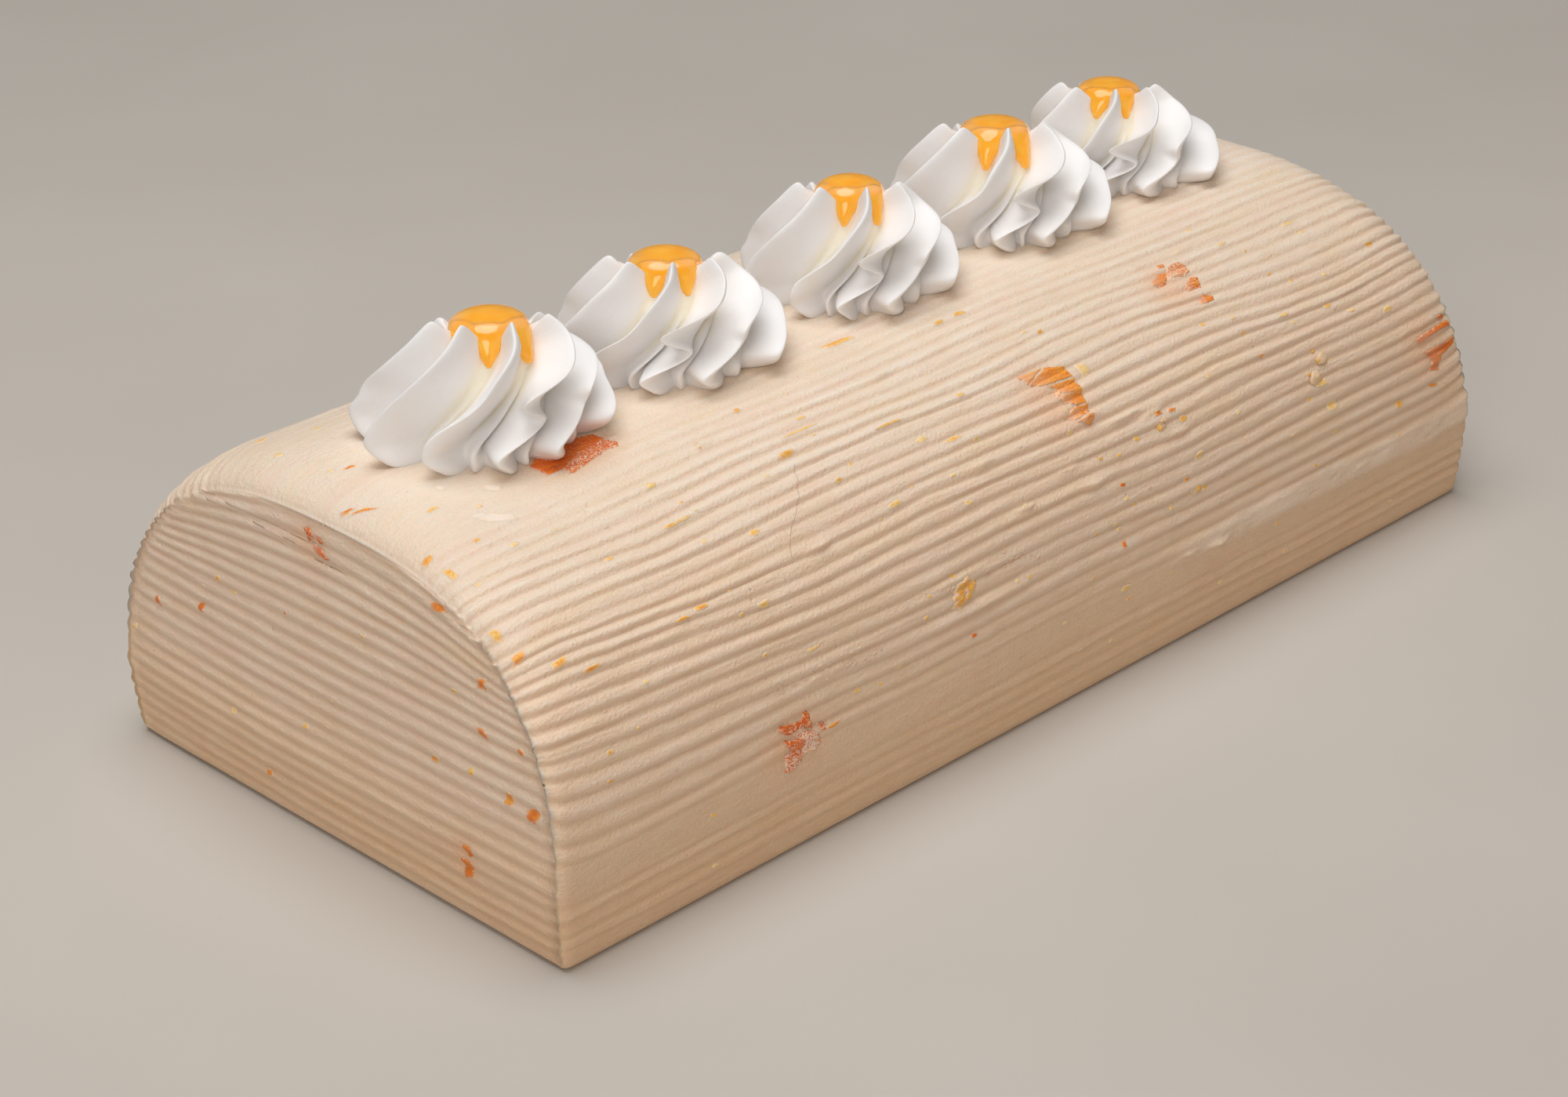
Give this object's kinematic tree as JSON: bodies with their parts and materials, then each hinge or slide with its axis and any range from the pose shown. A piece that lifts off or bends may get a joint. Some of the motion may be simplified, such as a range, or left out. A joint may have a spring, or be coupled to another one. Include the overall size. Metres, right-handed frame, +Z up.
{
  "type": "mango roll cake",
  "caption": "Arched log-shaped sponge roll in combed mango cream, topped by a row of twisted whipped-cream rosettes with mango jelly in their crowns; a dessert to slice and serve.",
  "frame": {"origin": "middle of the flat base, where the length and the width are halved", "axes": "+X along the roll, from the end nearest the viewer towards the far end; +Y across it, away from the long side that is seen; +Z up through the rosettes"},
  "size_m": [0.2706, 0.1306, 0.0964],
  "materials": {
    "cream_coat": "matte, combed and slightly moist",
    "whipped_cream": "satin, smooth",
    "mango_jelly": "wet gloss, translucent",
    "mango_flesh": "moist, semi-gloss"
  },
  "bodies": {
    "root": {"cream_roll": "cream_coat", "rosette_1": "whipped_cream", "rosette_2": "whipped_cream", "rosette_3": "whipped_cream", "rosette_4": "whipped_cream", "rosette_5": "whipped_cream", "mango_jelly_1": "mango_jelly", "mango_jelly_2": "mango_jelly", "mango_jelly_3": "mango_jelly", "mango_jelly_4": "mango_jelly", "mango_jelly_5": "mango_jelly", "mango_piece_1": "mango_flesh", "mango_piece_2": "mango_flesh", "mango_piece_3": "mango_flesh", "mango_piece_4": "mango_flesh", "mango_piece_5": "mango_flesh", "mango_piece_6": "mango_flesh", "mango_piece_7": "mango_flesh", "mango_piece_8": "mango_flesh", "mango_piece_9": "mango_flesh", "mango_piece_10": "mango_flesh", "mango_piece_11": "mango_flesh"}
  },
  "joints": []
}
